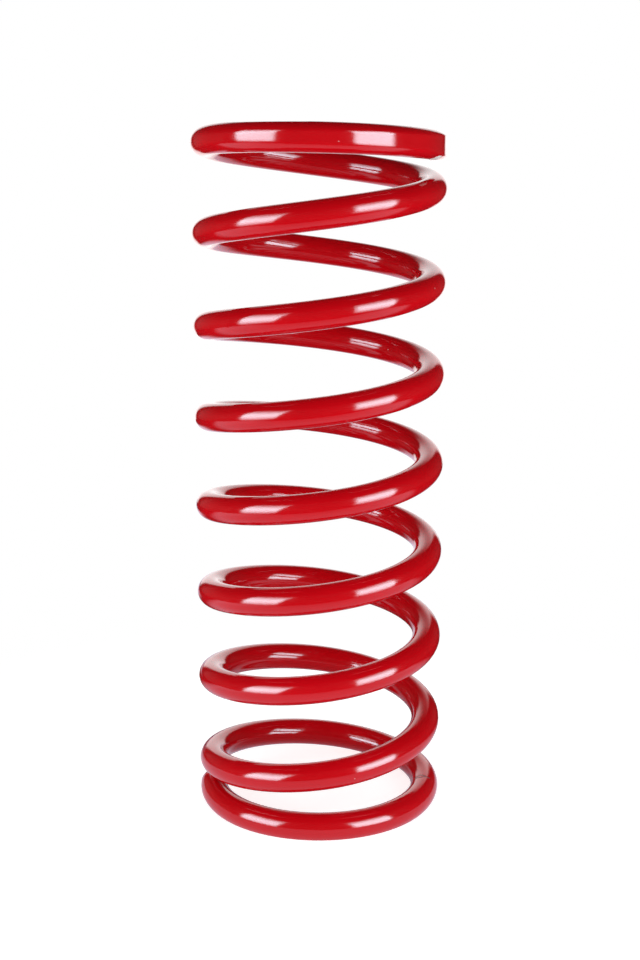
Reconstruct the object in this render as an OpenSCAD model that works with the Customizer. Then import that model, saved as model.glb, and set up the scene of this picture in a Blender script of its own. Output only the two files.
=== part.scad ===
// Suspension coil spring: one length of round wire, wound right-handed, with closed ends.
// It stands on its lower seat, with the coil axis on Z and the seat at Z = 0.
// The lower tip lies at -X, and lengths are in millimetres.

/* [Wire] */
// Diameter of the round wire
wire_d = 9.25; // [7:0.25:11]

/* [Coil] */
// Inside diameter of the coil, which the damper passes through
inside_d = 63.5; // [55:0.5:80]
// Free length from the lower seat to the upper seat
free_length = 226; // [200:1:300]
// Turns of wire from tip to tip
turns = 8.5; // [7:0.25:9.5]

/* [Lower end] */
// Gap between the lower tip and the coil above it
lower_gap = 1; // [0.4:0.1:4]
// Depth ground off the lower coil for its seat
lower_grind = 1.4; // [0.2:0.1:2.5]

/* [Upper end] */
// Turns at the upper tip that keep one slope
upper_tip_turns = 0.1; // [0.05:0.01:0.15]
// Turns in which the upper end then comes round to the full pitch
upper_lead_turns = 0.64; // [0.5:0.02:0.7]
// How steeply the upper tip is tucked in towards the next coil, as a share of the pitch
upper_tuck = 0.38; // [0:0.02:0.5]
// Depth ground off the upper coil for its seat
upper_grind = 0.3; // [0.1:0.1:2]

/* [Upper tip] */
// How far the tip springs out past the coil before its outside is dressed back
tip_spring = 0.75; // [0.4:0.05:1.5]
// Turns in which the tip springs out
tip_spring_turns = 0.12; // [0.06:0.01:0.2]
// Depth dressed off the outside of the coil at the tip
tip_dress = 0.7; // [0.2:0.1:1.2]
// Turns from the tip in which the dressing runs out
tip_dress_turns = 0.58; // [0.3:0.02:0.8]

/* [Hidden] */

// Facets round the wire, and rings in one turn of it
wire_sides = 16;
rings_per_turn = 36;

// Samples in the search for the crest of the upper coil
crest_steps = 200;

// Turns to each side of a point from which the wire's direction is taken
direction_step = 0.001;

coil_r = (inside_d + wire_d) / 2;
outer_r = inside_d / 2 + wire_d;

// The faceted section has the area of the round wire
section_r = wire_d / 2 * sqrt(2 * PI / (wire_sides * sin(360 / wire_sides)));

// Share of a full slope, from 0 to 1, across a lead-in, and its running sum
function ease(x) =
    let (c = min(max(x, 0), 1))
    c * c * (3 - 2 * c);
function eased_sum(x) =
    x <= 0 ? 0 : x >= 1 ? x - 1 / 2 : pow(x, 3) - pow(x, 4) / 2;

// Fall of the wire below the upper tip, in pitches, at v turns from that tip
function upper_fall(v) =
    (1 + upper_tuck) * upper_lead_turns * eased_sum((v - upper_tip_turns) / upper_lead_turns)
    - upper_tuck * v;
upper_end_turns = upper_tip_turns + upper_lead_turns;
upper_end_loss = upper_end_turns - upper_fall(upper_end_turns);
upper_crest = -min([for (i = [0:crest_steps]) upper_fall(upper_end_turns * i / crest_steps)]);

// The free length sets the pitch, with the first turn closed up to the wire and its gap
lower_turn_rise = wire_d + lower_gap;
unground_length = free_length + lower_grind + upper_grind;
pitch = (unground_length - wire_d - lower_turn_rise) / (turns - 1 - upper_end_loss + upper_crest);

// Rise of the wire above the lower tip at u turns, which reaches the full pitch after one turn
lower_lead_turns = 2 * lower_turn_rise / pitch;
function lower_rise(u) = pitch * lower_lead_turns * eased_sum((u - 1) / lower_lead_turns + 1);

lower_tip_z = wire_d / 2 - lower_grind;
upper_tip_z = lower_tip_z + lower_turn_rise + pitch * (turns - 1 - upper_end_loss);
lower_tip_angle = 180;
upper_tip_angle = lower_tip_angle + 360 * turns;

// Centre line of the wire at u turns above the lower tip
function centre_r(u) = coil_r + tip_spring * ease(1 - (turns - u) / tip_spring_turns);
function centre_z(u) =
    u < turns / 2 ? lower_tip_z + lower_rise(u) : upper_tip_z - pitch * upper_fall(turns - u);
function centre(u) =
    let (a = lower_tip_angle + 360 * u)
    [centre_r(u) * cos(a), centre_r(u) * sin(a), centre_z(u)];

function unit(p) = p / norm(p);
function direction(u) = unit(centre(u + direction_step) - centre(u - direction_step));

// A point of the wire's outside, dressed back where it stands past the limit near the upper tip
function dress_limit(u) = outer_r - tip_dress * ease(1 - (turns - u) / tip_dress_turns);
function dressed(p, u) =
    let (share = min(1, dress_limit(u) / norm([p.x, p.y])))
    [p.x * share, p.y * share, p.z];

// One ring of the section, square to the wire
function ring(u) =
    let (
        a = lower_tip_angle + 360 * u,
        along = direction(u),
        up = unit(cross([cos(a), sin(a), 0], along)),
        out = cross(along, up)
    )
    [for (i = [0:wire_sides - 1])
        let (b = 360 * (i + 1 / 2) / wire_sides)
        dressed(centre(u) + section_r * (out * cos(b) + up * sin(b)), u)];

module wound_wire() {
    rings = ceil(turns * rings_per_turn);
    points = [for (k = [0:rings]) each ring(turns * k / rings)];
    walls = [
        for (k = [0:rings - 1], i = [0:wire_sides - 1])
        let (
            a = k * wire_sides + i,
            b = k * wire_sides + (i + 1) % wire_sides
        )
        each [[a, a + wire_sides, b], [b, a + wire_sides, b + wire_sides]]
    ];
    lower_cap = [for (i = [0:wire_sides - 1]) i];
    upper_cap = [for (i = [wire_sides - 1:-1:0]) rings * wire_sides + i];
    polyhedron(points, concat(walls, [lower_cap, upper_cap]));
}

// Space between the two seats
module ground_length() {
    reach = outer_r + 2 * tip_spring;
    translate([-reach, -reach, 0])
        cube([2 * reach, 2 * reach, free_length]);
}

module coil_spring() {
    color("firebrick")
        intersection() {
            wound_wire();
            ground_length();
        }
}

coil_spring();
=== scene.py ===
"""Looks of the suspension coil spring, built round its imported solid.

One length of round wire, wound right-handed with closed ends and coated in glossy red enamel, stands on
a pale studio floor. Lengths are in metres, with the coil axis on Z and the lower seat at Z = 0.
"""

import logging
import math
from dataclasses import dataclass, field
from enum import Enum

import bmesh
import bpy
from mathutils import Euler, Matrix, Vector


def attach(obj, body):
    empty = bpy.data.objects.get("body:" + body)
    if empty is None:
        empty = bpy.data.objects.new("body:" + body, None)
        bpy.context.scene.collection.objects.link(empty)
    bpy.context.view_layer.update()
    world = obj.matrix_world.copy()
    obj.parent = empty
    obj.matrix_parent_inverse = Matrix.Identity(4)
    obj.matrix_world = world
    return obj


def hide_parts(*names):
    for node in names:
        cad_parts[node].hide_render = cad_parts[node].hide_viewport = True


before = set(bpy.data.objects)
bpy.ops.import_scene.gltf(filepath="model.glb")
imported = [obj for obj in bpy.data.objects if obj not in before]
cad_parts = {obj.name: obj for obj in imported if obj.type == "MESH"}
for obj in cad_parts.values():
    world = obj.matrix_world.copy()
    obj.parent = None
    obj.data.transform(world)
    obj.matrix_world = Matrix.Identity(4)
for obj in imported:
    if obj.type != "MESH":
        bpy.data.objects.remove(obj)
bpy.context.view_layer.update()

Socket = bpy.types.NodeSocket
Span = tuple[float, float]
Tint = tuple[float, float, float]
Colour = tuple[float, float, float, float]
Value = float | Colour | Socket

MM = 0.001
WHITE: Colour = (1.0, 1.0, 1.0, 1.0)
SOFT_BOX_TINT: Tint = (0.68, 0.95, 1.06)

# Power of an area lamp in Blender, for one unit of radiance and of area
LAMP_POWER = 4.0

log = logging.getLogger("coil_spring")


class LightRole(Enum):
    """What a studio lamp is there for: to show in the gloss, or to light the colour."""

    GLEAM = "gleam"
    FILL = "fill"


class Graph:
    """A node tree with short calls to add its nodes.

    A Mix node's sockets go by number, because each data type has its own under the same names.
    """

    def __init__(self, tree: bpy.types.NodeTree) -> None:
        """Keep the tree and clear it."""
        self.tree = tree
        tree.nodes.clear()

    def add(
        self, kind: str, inputs: dict[str | int, Value] | None = None, **settings: object
    ) -> bpy.types.Node:
        """Add a node and fill its inputs.

        Args:
            kind: Blender's name for the node type.
            inputs: a value or an output socket for each input, by the input's name or number.
            **settings: the node's own properties.

        Returns:
            The new node.
        """
        node = self.tree.nodes.new(kind)
        for name, value in settings.items():
            setattr(node, name, value)
        for key, value in (inputs or {}).items():
            if isinstance(value, Socket):
                self.tree.links.new(value, node.inputs[key])
            else:
                node.inputs[key].default_value = value
        return node

    def math(self, operation: str, *values: Value) -> Socket:
        """Return the result of an operation on the values."""
        return self.add("ShaderNodeMath", dict(enumerate(values)), operation=operation).outputs[0]

    def length(self, vector: Socket) -> Socket:
        """Return the length of a vector."""
        return self.add("ShaderNodeVectorMath", {0: vector}, operation="LENGTH").outputs["Value"]

    def split(self, vector: Socket) -> bpy.types.NodeOutputs:
        """Return the X, Y and Z of a vector."""
        return self.add("ShaderNodeSeparateXYZ", {0: vector}).outputs

    def step(self, value: Value, start: float, end: float) -> Socket:
        """Return a smooth step of the value, from 0 at start to 1 at end."""
        inputs = {"Value": value, "From Min": start, "From Max": end}
        return self.add("ShaderNodeMapRange", inputs, interpolation_type="SMOOTHSTEP").outputs[0]

    def spread(self, value: Value, low: float, high: float) -> Socket:
        """Return a value from 0 to 1 spread from low to high."""
        inputs = {"Value": value, "To Min": low, "To Max": high}
        return self.add("ShaderNodeMapRange", inputs).outputs[0]

    def mix(self, factor: Value, first: Value, second: Value) -> Socket:
        """Return the first colour where the factor is 0 and the second where it is 1."""
        inputs = {0: factor, 6: first, 7: second}
        return self.add("ShaderNodeMix", inputs, data_type="RGBA").outputs[2]

    def blend(self, factor: Value, first: Value, second: Value) -> Socket:
        """Return the first number where the factor is 0 and the second where it is 1."""
        inputs = {0: factor, 2: first, 3: second}
        return self.add("ShaderNodeMix", inputs, data_type="FLOAT").outputs[0]

    def mix_shader(
        self, factor: Value, first: bpy.types.Node, second: bpy.types.Node
    ) -> bpy.types.Node:
        """Return the first shader where the factor is 0 and the second where it is 1."""
        return self.add("ShaderNodeMixShader", {0: factor, 1: first.outputs[0], 2: second.outputs[0]})

    def noise(self, place: Socket, size: float, detail: float) -> Socket:
        """Return noise from 0 to 1 whose lumps are about the given size."""
        inputs = {"Vector": place, "Scale": 1 / size, "Detail": detail}
        return self.add("ShaderNodeTexNoise", inputs).outputs[0]

    def attribute(self, name: str) -> Socket:
        """Return a number that the mesh carries at each point."""
        return self.add("ShaderNodeAttribute", attribute_name=name).outputs["Fac"]


@dataclass
class CoilSpring:
    """The wound wire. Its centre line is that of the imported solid, worked out from the same sizes."""

    wire_diameter: float = 9.25 * MM
    inside_diameter: float = 63.5 * MM
    free_length: float = 226 * MM
    turns: float = 8.5
    lower_gap: float = 1 * MM
    lower_grind: float = 1.4 * MM
    upper_tip_turns: float = 0.1
    upper_lead_turns: float = 0.64
    upper_tuck: float = 0.38
    upper_grind: float = 0.3 * MM
    tip_spring: float = 0.75 * MM
    tip_spring_turns: float = 0.12
    tip_dress: float = 0.7 * MM
    tip_dress_turns: float = 0.58

    # The coat lies within the facets of the solid, and its edges are soft
    coat_inset: float = 0.03 * MM
    tip_dress_round: float = 0.12 * MM
    edge_round: float = 0.3 * MM
    edge_segments: int = 3
    sharp_angle: float = math.radians(35)

    # Fineness of the mesh, and of the steps that find the crest and the wire's direction
    sides: int = 48
    rings_per_turn: int = 72
    crest_steps: int = 200
    direction_step: float = 0.001
    cut_tolerance: float = 1e-6

    # A face that looks up or down by more than this is a seat, not a cut end
    seat_facing: float = 0.9

    pitch: float = field(init=False)
    lower_lead_turns: float = field(init=False)
    lower_tip_z: float = field(init=False)
    upper_tip_z: float = field(init=False)

    def __post_init__(self) -> None:
        """Work out the pitch and the heights of the two tips from the free length."""
        end = self.upper_tip_turns + self.upper_lead_turns
        loss = end - self.upper_fall(end)
        steps = self.crest_steps
        crest = -min(self.upper_fall(end * i / steps) for i in range(steps + 1))
        first_rise = self.wire_diameter + self.lower_gap
        unground = self.free_length + self.lower_grind + self.upper_grind
        self.pitch = (unground - self.wire_diameter - first_rise) / (self.turns - 1 - loss + crest)
        self.lower_lead_turns = 2 * first_rise / self.pitch
        self.lower_tip_z = self.wire_diameter / 2 - self.lower_grind
        self.upper_tip_z = self.lower_tip_z + first_rise + self.pitch * (self.turns - 1 - loss)

    @property
    def coil_radius(self) -> float:
        """Radius of the coil at the middle of the wire."""
        return (self.inside_diameter + self.wire_diameter) / 2

    @property
    def outer_radius(self) -> float:
        """Radius of the outside of the coil."""
        return self.inside_diameter / 2 + self.wire_diameter

    @property
    def coat_radius(self) -> float:
        """Radius of the coated wire."""
        return self.wire_diameter / 2 - self.coat_inset

    @staticmethod
    def ease(x: float) -> float:
        """Return a smooth step from 0 to 1."""
        c = min(max(x, 0.0), 1.0)
        return c * c * (3 - 2 * c)

    @staticmethod
    def eased_sum(x: float) -> float:
        """Sum up the smooth step.

        Args:
            x: how far along the step, from 0 at its start to 1 at its end.

        Returns:
            The running sum of the step up to there.
        """
        if x <= 0:
            return 0.0
        return x - 0.5 if x >= 1 else x**3 - x**4 / 2

    def upper_fall(self, v: float) -> float:
        """Return how far the wire falls below the upper tip, in pitches, at v turns from it."""
        lead = self.upper_lead_turns * self.eased_sum((v - self.upper_tip_turns) / self.upper_lead_turns)
        return (1 + self.upper_tuck) * lead - self.upper_tuck * v

    def lower_rise(self, u: float) -> float:
        """Return how far the wire rises above the lower tip at u turns from it."""
        lead = self.lower_lead_turns
        return self.pitch * lead * self.eased_sum((u - 1) / lead + 1)

    def angle(self, u: float) -> float:
        """Return the angle about the coil axis at u turns above the lower tip, which lies at -X."""
        return math.pi + math.tau * u

    def centre(self, u: float) -> Vector:
        """Find the middle of the wire.

        Args:
            u: turns above the lower tip.

        Returns:
            The point, in the part's frame.
        """
        spring = self.tip_spring * self.ease(1 - (self.turns - u) / self.tip_spring_turns)
        radius = self.coil_radius + spring
        if u < self.turns / 2:
            z = self.lower_tip_z + self.lower_rise(u)
        else:
            z = self.upper_tip_z - self.pitch * self.upper_fall(self.turns - u)
        return Vector((radius * math.cos(self.angle(u)), radius * math.sin(self.angle(u)), z))

    def section(self, u: float) -> Matrix:
        """Set the wire's own axes: X outwards, Y upwards and Z back along the wire.

        Args:
            u: turns above the lower tip.

        Returns:
            The axes, placed on the middle of the wire.
        """
        step = self.direction_step
        along = (self.centre(u + step) - self.centre(u - step)).normalized()
        outwards = Vector((math.cos(self.angle(u)), math.sin(self.angle(u)), 0))
        up = outwards.cross(along).normalized()
        axes = Matrix((along.cross(up), up, -along)).transposed()
        return Matrix.Translation(self.centre(u)) @ axes.to_4x4()

    def wind(self, bm: bmesh.types.BMesh) -> None:
        """Extrude the round section ring by ring along the centre line, and close both ends.

        Each point keeps its place on the wire: turns above the lower tip, and how far out and up it lies.

        Args:
            bm: the mesh to fill.
        """
        turn = bm.verts.layers.float.new("turn")
        out = bm.verts.layers.float.new("out")
        crown = bm.verts.layers.float.new("crown")
        radius = self.coat_radius
        first = bmesh.ops.create_circle(bm, cap_ends=False, segments=self.sides, radius=radius)["verts"]
        for vert in first:
            vert[out] = vert.co.x / radius
            vert[crown] = vert.co.y / radius
        place = self.section(0)
        bmesh.ops.transform(bm, matrix=place, verts=first)
        ring = bm.edges[:]
        bmesh.ops.edgeloop_fill(bm, edges=ring)
        rings = round(self.turns * self.rings_per_turn)
        for k in range(1, rings + 1):
            u = self.turns * k / rings
            grown = bmesh.ops.extrude_edge_only(bm, edges=ring)["geom"]
            verts = [item for item in grown if isinstance(item, bmesh.types.BMVert)]
            edges = [item for item in grown if isinstance(item, bmesh.types.BMEdge)]
            ring = [edge for edge in edges if edge.is_boundary]
            bmesh.ops.transform(bm, matrix=self.section(u) @ place.inverted(), verts=verts)
            place = self.section(u)
            for vert in verts:
                vert[turn] = u
        bmesh.ops.edgeloop_fill(bm, edges=ring)

    def dress_upper_end(self, bm: bmesh.types.BMesh) -> None:
        """Press the outside of the upper coil back to its dressed radius, which runs out along the wire.

        Args:
            bm: the wound wire.
        """
        turn = bm.verts.layers.float["turn"]
        soft = self.tip_dress_round
        for vert in bm.verts:
            share = self.ease(1 - (self.turns - vert[turn]) / self.tip_dress_turns)
            limit = self.outer_radius - self.tip_dress * share
            reach = vert.co.xy.length
            if share == 0 or reach < limit - soft:
                continue
            over = min((reach - limit + soft) / (2 * soft), 1.0)
            scale = (limit - soft + soft * (2 * over - over * over)) / reach
            vert.co.x *= scale
            vert.co.y *= scale

    def grind_seats(self, bm: bmesh.types.BMesh) -> None:
        """Cut both ends flat for their seats and close the cuts.

        Args:
            bm: the wound wire.
        """
        for height, facing in ((0.0, -1.0), (self.free_length, 1.0)):
            cut = bmesh.ops.bisect_plane(
                bm,
                geom=bm.verts[:] + bm.edges[:] + bm.faces[:],
                dist=self.cut_tolerance,
                plane_co=(0, 0, height),
                plane_no=(0, 0, facing),
                clear_outer=True,
            )
            rim = [item for item in cut["geom_cut"] if isinstance(item, bmesh.types.BMEdge)]
            bmesh.ops.edgenet_fill(bm, edges=rim)

    def round_cut_ends(self, bm: bmesh.types.BMesh) -> None:
        """Round the edges of the two cut ends of the wire.

        Args:
            bm: the ground wire.
        """
        flats = [face for face in bm.faces if len(face.verts) > self.sides / 2]
        caps = [face for face in flats if abs(face.normal.z) < self.seat_facing]
        bmesh.ops.bevel(
            bm,
            geom=list({edge for face in caps for edge in face.edges}),
            offset=self.edge_round,
            affect="EDGES",
            segments=self.edge_segments,
            profile=0.5,
            material=-1,
            clamp_overlap=True,
        )

    def build(self) -> bpy.types.Object:
        """Wind, dress and grind the wire, and round its edges.

        Returns:
            The spring as one object at the origin.
        """
        bm = bmesh.new()
        self.wind(bm)
        self.dress_upper_end(bm)
        self.grind_seats(bm)
        self.round_cut_ends(bm)
        bmesh.ops.recalc_face_normals(bm, faces=bm.faces[:])
        mesh = bpy.data.meshes.new("coil_spring_coated")
        bm.to_mesh(mesh)
        bm.free()
        mesh.shade_smooth()
        mesh.set_sharp_from_angle(angle=self.sharp_angle)
        piece = bpy.data.objects.new("coil_spring_coated", mesh)
        bpy.context.scene.collection.objects.link(piece)
        return piece

    def dress(self, piece: bpy.types.Object, finish: "RedEnamel") -> None:
        """Coat the spring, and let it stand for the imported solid.

        Args:
            piece: the spring.
            finish: its coat.
        """
        piece.data.materials.append(finish.build(self))
        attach(piece, "root")
        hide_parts("coil_spring")


@dataclass(frozen=True)
class RedEnamel:
    """Glossy red enamel baked on the wire, with its small marks.

    A mark's place is given in turns above the lower tip, and by its clock position: the degrees round the
    wire, from 0 on the outside through 90 on top. A span gives where a mask is 0 and where it is 1, apart
    from that of the roughness, which is its lowest and its highest.
    """

    # Red, with a slow drift of colour and gloss
    colour: Colour = (0.56, 0.0016, 0.0062, 1.0)
    deep_colour: Colour = (0.52, 0.0013, 0.0052, 1.0)
    drift_size: float = 28 * MM
    drift_detail: float = 3.0
    drift_span: Span = (0.35, 0.7)
    ior: float = 1.5
    roughness: Span = (0.08, 0.12)
    gloss_size: float = 9 * MM
    gloss_detail: float = 4.0

    # Chip to the pale primer, under the upper tip
    primer: Colour = (0.78, 0.76, 0.74, 1.0)
    chip_turn: float = 8.447
    chip_clock: float = -72.0
    chip_length: float = 3.0 * MM
    chip_reach: float = math.radians(26)
    chip_grain: float = 0.9 * MM
    chip_grain_detail: float = 3.0
    chip_ragged: float = 1.2
    chip_span: Span = (1.55, 1.35)
    chip_roughness: float = 0.55

    # Thin dark edges at the cut ends, by turns from the tip and by how near the rim
    end_edge: Colour = (0.16, 0.012, 0.02, 1.0)
    end_edge_turns: Span = (0.004, 0.001)
    end_edge_rim: Span = (0.72, 0.9)
    end_edge_share: float = 0.8

    # Eye-shaped mark across the lower coil, drawn by a fine line
    hairline: Colour = (0.05, 0.006, 0.008, 1.0)
    mark_turn: float = 0.47
    mark_clock: float = 105.0
    mark_reach: float = math.radians(26)
    mark_width: float = 1.0 * MM
    mark_share: float = 0.85
    mark_roughness: float = 0.6
    line_clock: float = 95.0
    line_reach: float = math.radians(38)
    line_taper: float = 0.85
    line_width: float = 0.42 * MM
    line_core: float = 0.3

    # Nibs of dust: one in some of the cells of a pattern
    nib_cell: float = 6 * MM
    nib_size: float = 0.34 * MM
    nib_pick: Span = (0.55, 1.0)
    nib_span: Span = (0.0, -0.02)
    nib_share: float = 0.25

    # Orange peel, and the other heights as multiples of its own
    peel_height: float = 0.010 * MM
    peel_size: float = 1.9 * MM
    peel_detail: float = 1.0
    swell_size: float = 11 * MM
    swell_height: float = 6.0
    nib_height: float = 3.0
    mark_depth: float = 2.5
    chip_depth: float = 8.0

    def along(self, graph: Graph, spring: CoilSpring, turn: float) -> Socket:
        """Return the length along the wire from a place on it, given in turns above the lower tip."""
        turns = graph.math("SUBTRACT", graph.attribute("turn"), turn)
        return graph.math("ABSOLUTE", graph.math("MULTIPLY", turns, math.tau * spring.coil_radius))

    def clock_angle(self, graph: Graph, clock: float) -> Socket:
        """Measure the angle round the wire.

        Args:
            graph: the coat's nodes.
            clock: the clock position to measure from, in degrees.

        Returns:
            The angle, in radians.
        """
        a = math.radians(clock)
        out = graph.math("MULTIPLY", graph.attribute("out"), math.cos(a))
        facing = graph.math("MULTIPLY_ADD", graph.attribute("crown"), math.sin(a), out)
        return graph.math("ARCCOSINE", graph.math("MINIMUM", facing, 1.0))

    def chip(self, graph: Graph, place: Socket, spring: CoilSpring) -> Socket:
        """Mask the small ragged chip at the lower edge of the upper tip.

        Args:
            graph: the coat's nodes.
            place: the point on the coat.
            spring: the wire.

        Returns:
            The mask.
        """
        along = graph.math("MULTIPLY", self.along(graph, spring, self.chip_turn), 1 / self.chip_length)
        across = graph.math("DIVIDE", self.clock_angle(graph, self.chip_clock), self.chip_reach)
        away = graph.math("ADD", graph.math("POWER", along, 2.0), graph.math("POWER", across, 2.0))
        grain = graph.noise(place, self.chip_grain, self.chip_grain_detail)
        ragged = graph.math("MULTIPLY_ADD", grain, self.chip_ragged, away)
        return graph.step(ragged, *self.chip_span)

    def cut_edges(self, graph: Graph, spring: CoilSpring) -> Socket:
        """Mask the thin dark edges at the two cut ends of the wire.

        Args:
            graph: the coat's nodes.
            spring: the wire.

        Returns:
            The mask.
        """
        middle = spring.turns / 2
        start, full = self.end_edge_turns
        reach = graph.math("ABSOLUTE", graph.math("SUBTRACT", graph.attribute("turn"), middle))
        ends = graph.step(reach, middle - start, middle - full)
        out = graph.math("POWER", graph.attribute("out"), 2.0)
        crown = graph.math("POWER", graph.attribute("crown"), 2.0)
        rim = graph.step(graph.math("ADD", out, crown), *self.end_edge_rim)
        return graph.math("MULTIPLY", ends, rim)

    def hair_mark(self, graph: Graph, spring: CoilSpring) -> Socket:
        """Mask the fine eye-shaped mark across the lower coil, with its tail.

        Args:
            graph: the coat's nodes.
            spring: the wire.

        Returns:
            The mask.
        """
        share = graph.math("DIVIDE", self.clock_angle(graph, self.mark_clock), self.mark_reach)
        bulge = graph.math("SUBTRACT", 1.0, graph.math("POWER", share, 2.0))
        eye = graph.math("MAXIMUM", bulge, 0.0)
        reach = self.along(graph, spring, self.mark_turn)
        from_line = graph.math("ABSOLUTE", graph.math("MULTIPLY_ADD", eye, -self.mark_width, reach))
        line = graph.step(from_line, self.line_width, self.line_width * self.line_core)
        across = self.clock_angle(graph, self.line_clock)
        held = graph.step(across, self.line_reach, self.line_reach * self.line_taper)
        return graph.math("MULTIPLY", line, held)

    def nibs(self, graph: Graph, place: Socket) -> Socket:
        """Mask the few specks of dust baked into the coat.

        Args:
            graph: the coat's nodes.
            place: the point on the coat.

        Returns:
            The mask.
        """
        dots = graph.add("ShaderNodeTexVoronoi", {"Vector": place, "Scale": 1 / self.nib_cell}).outputs
        pick = graph.add("ShaderNodeSeparateColor", {0: dots["Color"]}).outputs[0]
        largest = self.nib_size / self.nib_cell
        size = graph.math("MULTIPLY", graph.step(pick, *self.nib_pick), largest)
        return graph.step(graph.math("SUBTRACT", dots["Distance"], size), *self.nib_span)

    def layers(
        self, graph: Graph, place: Socket, edges: Socket, chip: Socket, mark: Socket, nibs: Socket
    ) -> Socket:
        """Lay the marks over the red.

        Args:
            graph: the coat's nodes.
            place: the point on the coat.
            edges: the mask of the cut ends' edges.
            chip: the mask of the chip.
            mark: the mask of the eye-shaped mark.
            nibs: the mask of the nibs.

        Returns:
            The colour of the coat.
        """
        drift = graph.noise(place, self.drift_size, self.drift_detail)
        colour = graph.mix(graph.step(drift, *self.drift_span), self.deep_colour, self.colour)
        colour = graph.mix(graph.math("MULTIPLY", edges, self.end_edge_share), colour, self.end_edge)
        colour = graph.mix(graph.math("MULTIPLY", nibs, self.nib_share), colour, self.primer)
        colour = graph.mix(graph.math("MULTIPLY", mark, self.mark_share), colour, self.hairline)
        return graph.mix(chip, colour, self.primer)

    def dullness(self, graph: Graph, place: Socket, chip: Socket, mark: Socket) -> Socket:
        """Set how rough the coat is, with the chip and the mark less glossy.

        Args:
            graph: the coat's nodes.
            place: the point on the coat.
            chip: the mask of the chip.
            mark: the mask of the eye-shaped mark.

        Returns:
            The roughness.
        """
        drift = graph.noise(place, self.gloss_size, self.gloss_detail)
        dull_chip = graph.math("MULTIPLY", chip, self.chip_roughness)
        dull_mark = graph.math("MULTIPLY", mark, self.mark_roughness)
        dull = graph.math("MAXIMUM", dull_chip, dull_mark)
        return graph.math("MAXIMUM", graph.spread(drift, *self.roughness), dull)

    def relief(
        self, graph: Graph, place: Socket, chip: Socket, mark: Socket, nibs: Socket
    ) -> Socket:
        """Raise the orange peel and the nibs, and sink the marks.

        Args:
            graph: the coat's nodes.
            place: the point on the coat.
            chip: the mask of the chip.
            mark: the mask of the eye-shaped mark.
            nibs: the mask of the nibs.

        Returns:
            The bumped normal.
        """
        swell = graph.noise(place, self.swell_size, self.peel_detail)
        height = graph.noise(place, self.peel_size, self.peel_detail)
        height = graph.math("MULTIPLY_ADD", swell, self.swell_height, height)
        height = graph.math("MULTIPLY_ADD", nibs, self.nib_height, height)
        height = graph.math("MULTIPLY_ADD", mark, -self.mark_depth, height)
        height = graph.math("MULTIPLY_ADD", chip, -self.chip_depth, height)
        inputs = {"Strength": 1.0, "Distance": self.peel_height, "Height": height}
        return graph.add("ShaderNodeBump", inputs).outputs[0]

    def build(self, spring: CoilSpring) -> bpy.types.Material:
        """Make the enamel's material.

        Args:
            spring: the wire that it coats, for the places of the marks.

        Returns:
            The material.
        """
        material = bpy.data.materials.new("red_enamel")
        material.use_nodes = True
        graph = Graph(material.node_tree)
        place = graph.add("ShaderNodeTexCoord").outputs["Object"]
        edges = self.cut_edges(graph, spring)
        chip = self.chip(graph, place, spring)
        mark = self.hair_mark(graph, spring)
        nibs = self.nibs(graph, place)
        shader = graph.add(
            "ShaderNodeBsdfPrincipled",
            {
                "Base Color": self.layers(graph, place, edges, chip, mark, nibs),
                "Roughness": self.dullness(graph, place, chip, mark),
                "IOR": self.ior,
                "Normal": self.relief(graph, place, chip, mark, nibs),
            },
        )
        graph.add("ShaderNodeOutputMaterial", {"Surface": shader.outputs[0]})
        return material


@dataclass(frozen=True)
class StudioLamp:
    """A soft box, placed by the sky it fills as seen from the spring, in degrees.

    The azimuth is 0 towards the camera and 90 at the right. The fade is the share of its width, and of its
    height, in which a gleam's edge goes dark.
    """

    name: str
    role: LightRole
    azimuth: Span
    elevation: Span
    radiance: float
    distance: float = 1.1
    colour: Tint = (1.0, 1.0, 1.0)
    fade: Span = (0.14, 0.5)

    @property
    def towards(self) -> Vector:
        """Find where the middle of the lamp lies.

        Returns:
            The direction to it from the spring.
        """
        az = math.radians(sum(self.azimuth) / 2)
        el = math.radians(sum(self.elevation) / 2)
        return Vector((math.sin(az) * math.cos(el), -math.cos(az) * math.cos(el), math.sin(el)))

    def side(self, angles: Span) -> float:
        """Return the length of the side that fills a span of angles at the lamp's distance."""
        return 2 * self.distance * math.tan(math.radians(angles[1] - angles[0]) / 2)

    def soften(self, data: bpy.types.AreaLight) -> None:
        """Fade the lamp out towards its sides and towards its top and bottom.

        Args:
            data: the lamp.
        """
        data.use_nodes = True
        graph = Graph(data.node_tree)
        across = graph.add("ShaderNodeNewGeometry").outputs["Parametric"]
        glow = 1.0
        for share, fade in zip(graph.split(across), self.fade):
            rise = graph.step(share, 0.0, fade)
            fall = graph.step(share, 1.0, 1.0 - fade)
            glow = graph.math("MULTIPLY", glow, graph.math("MULTIPLY", rise, fall))
        emission = graph.add("ShaderNodeEmission", {"Color": WHITE, "Strength": glow})
        graph.add("ShaderNodeOutputLight", {"Surface": emission.outputs[0]})

    def build(self, target: Vector) -> bpy.types.Object:
        """Make the lamp.

        Args:
            target: the point that it faces.

        Returns:
            The lamp's object.
        """
        data = bpy.data.lights.new(self.name, "AREA")
        data.shape = "RECTANGLE"
        data.size = self.side(self.azimuth)
        data.size_y = self.side(self.elevation)
        data.energy = self.radiance * LAMP_POWER * data.size * data.size_y
        data.color = self.colour
        if self.role is LightRole.GLEAM:
            self.soften(data)
        lamp = bpy.data.objects.new(self.name, data)
        lamp.location = target + self.towards * self.distance
        lamp.rotation_mode = "QUATERNION"
        lamp.rotation_quaternion = self.towards.to_track_quat("Z", "Y")
        lamp.visible_camera = False
        lamp.visible_diffuse = self.role is LightRole.FILL
        lamp.visible_glossy = self.role is LightRole.GLEAM
        bpy.context.scene.collection.objects.link(lamp)
        return lamp


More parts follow.
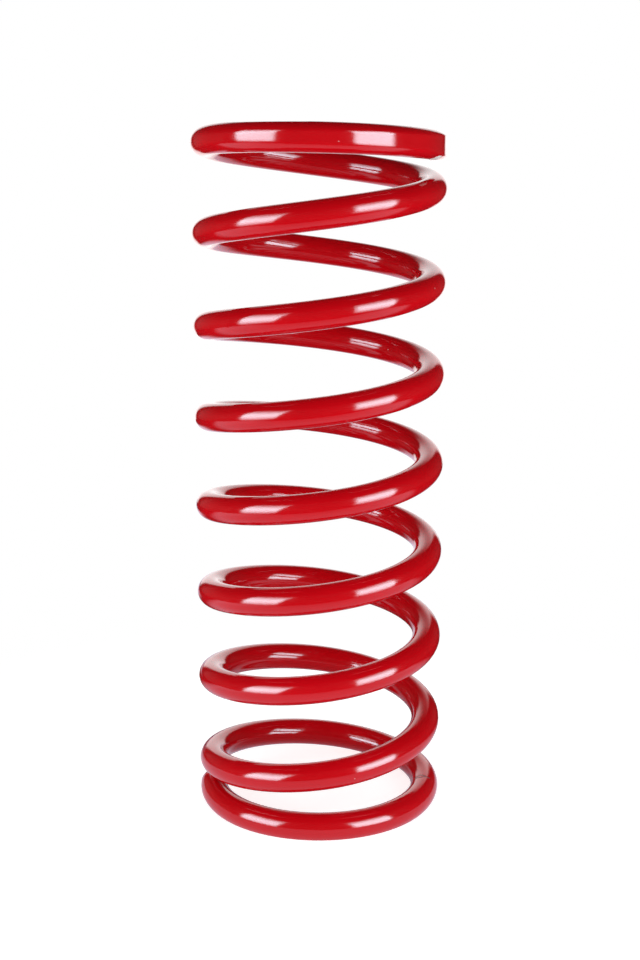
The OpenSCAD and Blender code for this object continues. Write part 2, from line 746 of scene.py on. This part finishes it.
@dataclass(frozen=True)
class Studio:
    """The pale floor, the white background, the soft boxes and the camera.

    A span of places or directions gives where a step starts and where it ends. A span of levels gives its
    two ends.
    """

    # Floor: its reach, and where it fades to the background as the distance from the coil axis grows
    floor_front: float = -0.24
    floor_back: float = 0.6
    floor_half_width: float = 0.45
    floor_whiten: Span = (0.06, 0.2)
    floor_end: Span = (0.08, 0.235)

    # Floor as the camera sees it: a matt colour, and a glow of its own with its share
    floor_colour: Colour = (0.9, 0.9, 0.9, 1.0)
    floor_share: float = 0.35
    floor_glow: float = 2.2

    # Light that the floor sends up to the spring, less in the shade inside the coil
    floor_bounce: Span = (0.15, 1.3)
    floor_bounce_share: float = 0.5
    coil_shade: Span = (0.024, 0.042)

    # Floor as the gloss shows it: a near field, brighter to the sides and close to the spring
    floor_gloss: Span = (0.48, 0.85)
    floor_gloss_tint: Colour = (0.95, 0.93, 1.12, 1.0)
    floor_gloss_shift: float = 0.02
    floor_gloss_side: Span = (0.08, 0.3)
    floor_gloss_rise: float = 0.25
    floor_gloss_close: Span = (-0.22, -0.08)
    floor_gloss_slant: float = 0.12
    floor_gloss_end: Span = (0.1, 0.02)
    floor_gloss_shade: float = 0.2

    # White strip of the floor that leads to the backdrop
    strip_side: Span = (0.17, 0.11)
    strip_start: Span = (0.14, 0.28)

    # Backdrop behind the spring as the gloss shows it, by the direction's angle to each side and its rise
    backdrop: float = 1.5
    backdrop_side: Span = (math.radians(23.575), math.radians(17.425))
    backdrop_low: Span = (-0.65, -0.55)
    backdrop_high: Span = (0.65, 0.35)
    dark: float = 0.02

    # Light all round, less from above, and the pale grey of the room on the camera's side
    ambient: float = 0.32
    ambient_top: float = 0.1
    ambient_fall: Span = (0.0, 0.5)
    room: float = 0.6
    room_turn: Span = (-0.4, 0.35)

    lamps: tuple[StudioLamp, ...] = (
        StudioLamp("left_gleam", LightRole.GLEAM, (-78.5, -35.5), (-18, 46), 13.5, colour=SOFT_BOX_TINT),
        StudioLamp("right_gleam", LightRole.GLEAM, (28.5, 71.5), (-20, 44), 14.0, colour=SOFT_BOX_TINT),
        StudioLamp("left_rim", LightRole.GLEAM, (-150, -86), (-25, 30), 0.08),
        StudioLamp("right_rim", LightRole.GLEAM, (84, 150), (-25, 30), 0.03),
        StudioLamp("left_fill", LightRole.FILL, (-100, -25), (-22, 38), 1.0, distance=0.32),
        StudioLamp("front_fill", LightRole.FILL, (-25, 25), (-22, 38), 0.85, distance=0.32),
        StudioLamp("right_fill", LightRole.FILL, (25, 95), (-12, 36), 1.25, distance=0.32),
        StudioLamp("left_back_fill", LightRole.FILL, (-175, -110), (-20, 40), 0.55, distance=0.4),
        StudioLamp("right_back_fill", LightRole.FILL, (110, 175), (-5, 45), 0.36, distance=0.4),
    )

    # Camera at the photograph's viewpoint, with its focal length in pixels of the image
    camera_place: tuple[float, float, float] = (-0.00038, -0.48646, 0.21584)
    camera_down: float = math.radians(12.21)
    camera_yaw: float = math.radians(-0.077)
    camera_clip: float = 0.01
    focal_pixels: float = 1493.7
    image_height: int = 960
    sensor: float = 36.0

    def build_floor(self) -> bpy.types.Object:
        """Make the pale floor, which is near white and keeps the spring's shadow.

        Returns:
            The floor.
        """
        depth = (self.floor_back - self.floor_front) / 2
        middle = (self.floor_back + self.floor_front) / 2
        bm = bmesh.new()
        bmesh.ops.create_grid(bm, x_segments=1, y_segments=1, size=1.0)
        bmesh.ops.scale(bm, vec=(self.floor_half_width, depth, 1), verts=bm.verts)
        bmesh.ops.translate(bm, vec=(0, middle, 0), verts=bm.verts)
        mesh = bpy.data.meshes.new("floor")
        bm.to_mesh(mesh)
        bm.free()
        mesh.materials.append(self.floor_finish())
        floor = bpy.data.objects.new("floor", mesh)
        bpy.context.scene.collection.objects.link(floor)
        return floor

    def floor_finish(self) -> bpy.types.Material:
        """Make the floor's material, with a level for the camera, for the gloss and for the bounced light.

        Returns:
            The material.
        """
        material = bpy.data.materials.new("pale_floor")
        material.use_nodes = True
        graph = Graph(material.node_tree)
        path = graph.add("ShaderNodeLightPath").outputs
        camera = path["Is Camera Ray"]
        glossy = path["Is Glossy Ray"]
        place = graph.add("ShaderNodeTexCoord").outputs["Object"]
        away = graph.length(place)
        far = graph.step(away, *self.floor_whiten)
        shade = graph.step(away, *self.coil_shade)
        bounce = graph.spread(shade, *self.floor_bounce)
        shown = graph.blend(camera, bounce, graph.spread(far, self.floor_glow, 1.0))
        level = graph.blend(glossy, shown, self.gloss_level(graph, place, shade))
        tint = graph.mix(glossy, WHITE, self.floor_gloss_tint)
        seen = graph.blend(camera, self.floor_bounce_share, graph.spread(far, self.floor_share, 1.0))
        share = graph.math("MAXIMUM", seen, glossy)
        matt = graph.add("ShaderNodeBsdfDiffuse", {"Color": self.floor_colour})
        glow = graph.add("ShaderNodeEmission", {"Color": tint, "Strength": level})
        clear = graph.add("ShaderNodeBsdfTransparent")
        ending = graph.math("MULTIPLY", camera, graph.step(away, *self.floor_end))
        surface = graph.mix_shader(ending, graph.mix_shader(share, matt, glow), clear)
        graph.add("ShaderNodeOutputMaterial", {"Surface": surface.outputs[0]})
        return material

    def gloss_level(self, graph: Graph, place: Socket, shade: Socket) -> Socket:
        """Set the floor's level in the gloss: a near field, and a strip that leads to the backdrop.

        Args:
            graph: the floor's nodes.
            place: the point on the floor.
            shade: 0 in the shade inside the coil and 1 away from it.

        Returns:
            The level.
        """
        x, y, _ = graph.split(place)
        aside = graph.math("ABSOLUTE", graph.math("ADD", x, self.floor_gloss_shift))
        slanted = graph.math("MULTIPLY_ADD", x, self.floor_gloss_slant, y)
        near = graph.step(slanted, *self.floor_gloss_end)
        pale = graph.spread(graph.step(aside, *self.floor_gloss_side), *self.floor_gloss)
        close = graph.math("MULTIPLY", graph.step(y, *self.floor_gloss_close), self.floor_gloss_rise)
        near_field = graph.math("MULTIPLY", near, graph.math("ADD", pale, close))
        middle = graph.step(aside, *self.strip_side)
        strip = graph.math("MULTIPLY", middle, graph.step(y, *self.strip_start))
        level = graph.math("MAXIMUM", near_field, strip)
        lit = graph.math("MULTIPLY", level, graph.spread(shade, self.floor_gloss_shade, 1.0))
        return graph.math("MAXIMUM", lit, self.dark)

    def build_world(self) -> None:
        """Make the white background, the backdrop that the gloss shows, and a little light all round."""
        world = bpy.data.worlds.new("studio")
        bpy.context.scene.world = world
        world.use_nodes = True
        graph = Graph(world.node_tree)
        path = graph.add("ShaderNodeLightPath").outputs
        x, y, z = graph.split(graph.add("ShaderNodeTexCoord").outputs["Generated"])
        side = graph.math("ABSOLUTE", graph.math("ARCTAN2", x, y))
        wide = graph.step(side, *self.backdrop_side)
        low = graph.step(z, *self.backdrop_low)
        high = graph.step(z, *self.backdrop_high)
        backdrop = graph.math("MULTIPLY", graph.math("MULTIPLY", wide, low), high)
        gloss = graph.spread(backdrop, self.dark, self.backdrop)
        ambient = graph.spread(graph.step(z, *self.ambient_fall), self.ambient, self.ambient_top)
        light = graph.blend(path["Is Glossy Ray"], ambient, gloss)
        seen = graph.math("MAXIMUM", path["Is Camera Ray"], path["Is Transmission Ray"])
        shown = graph.spread(graph.step(y, *self.room_turn), self.room, 1.0)
        level = graph.blend(seen, light, shown)
        background = graph.add("ShaderNodeBackground", {"Color": WHITE, "Strength": level})
        graph.add("ShaderNodeOutputWorld", {"Surface": background.outputs[0]})
        world.cycles.sampling_method = "NONE"

    def build_camera(self) -> bpy.types.Object:
        """Make the camera at the photograph's viewpoint.

        Returns:
            The camera, which is the scene's own.
        """
        data = bpy.data.cameras.new("camera")
        data.sensor_width = self.sensor
        data.lens = self.focal_pixels * self.sensor / self.image_height
        data.clip_start = self.camera_clip
        camera = bpy.data.objects.new("camera", data)
        camera.location = self.camera_place
        camera.rotation_euler = Euler((math.pi / 2 - self.camera_down, 0, self.camera_yaw))
        bpy.context.scene.collection.objects.link(camera)
        bpy.context.scene.camera = camera
        return camera

    def build(self, target: Vector) -> None:
        """Set up the whole studio.

        Args:
            target: the point that the lamps face.
        """
        self.build_floor()
        self.build_world()
        for lamp in self.lamps:
            lamp.build(target)
        self.build_camera()
        bpy.context.scene.view_settings.view_transform = "Standard"


def main() -> None:
    """Build the spring and its studio, and report each piece."""
    logging.basicConfig(level=logging.INFO, format="%(name)s: %(message)s")
    log.info("packed model: %d node(s)", len(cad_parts))
    spring = CoilSpring()
    piece = spring.build()
    spring.dress(piece, RedEnamel())
    log.info("%s: %d faces, pitch %.2f mm", piece.name, len(piece.data.polygons), spring.pitch / MM)
    studio = Studio()
    studio.build(Vector((0, 0, spring.free_length / 2)))
    log.info("studio: floor, background, %d soft boxes and camera", len(studio.lamps))


if __name__ == "__main__":
    main()
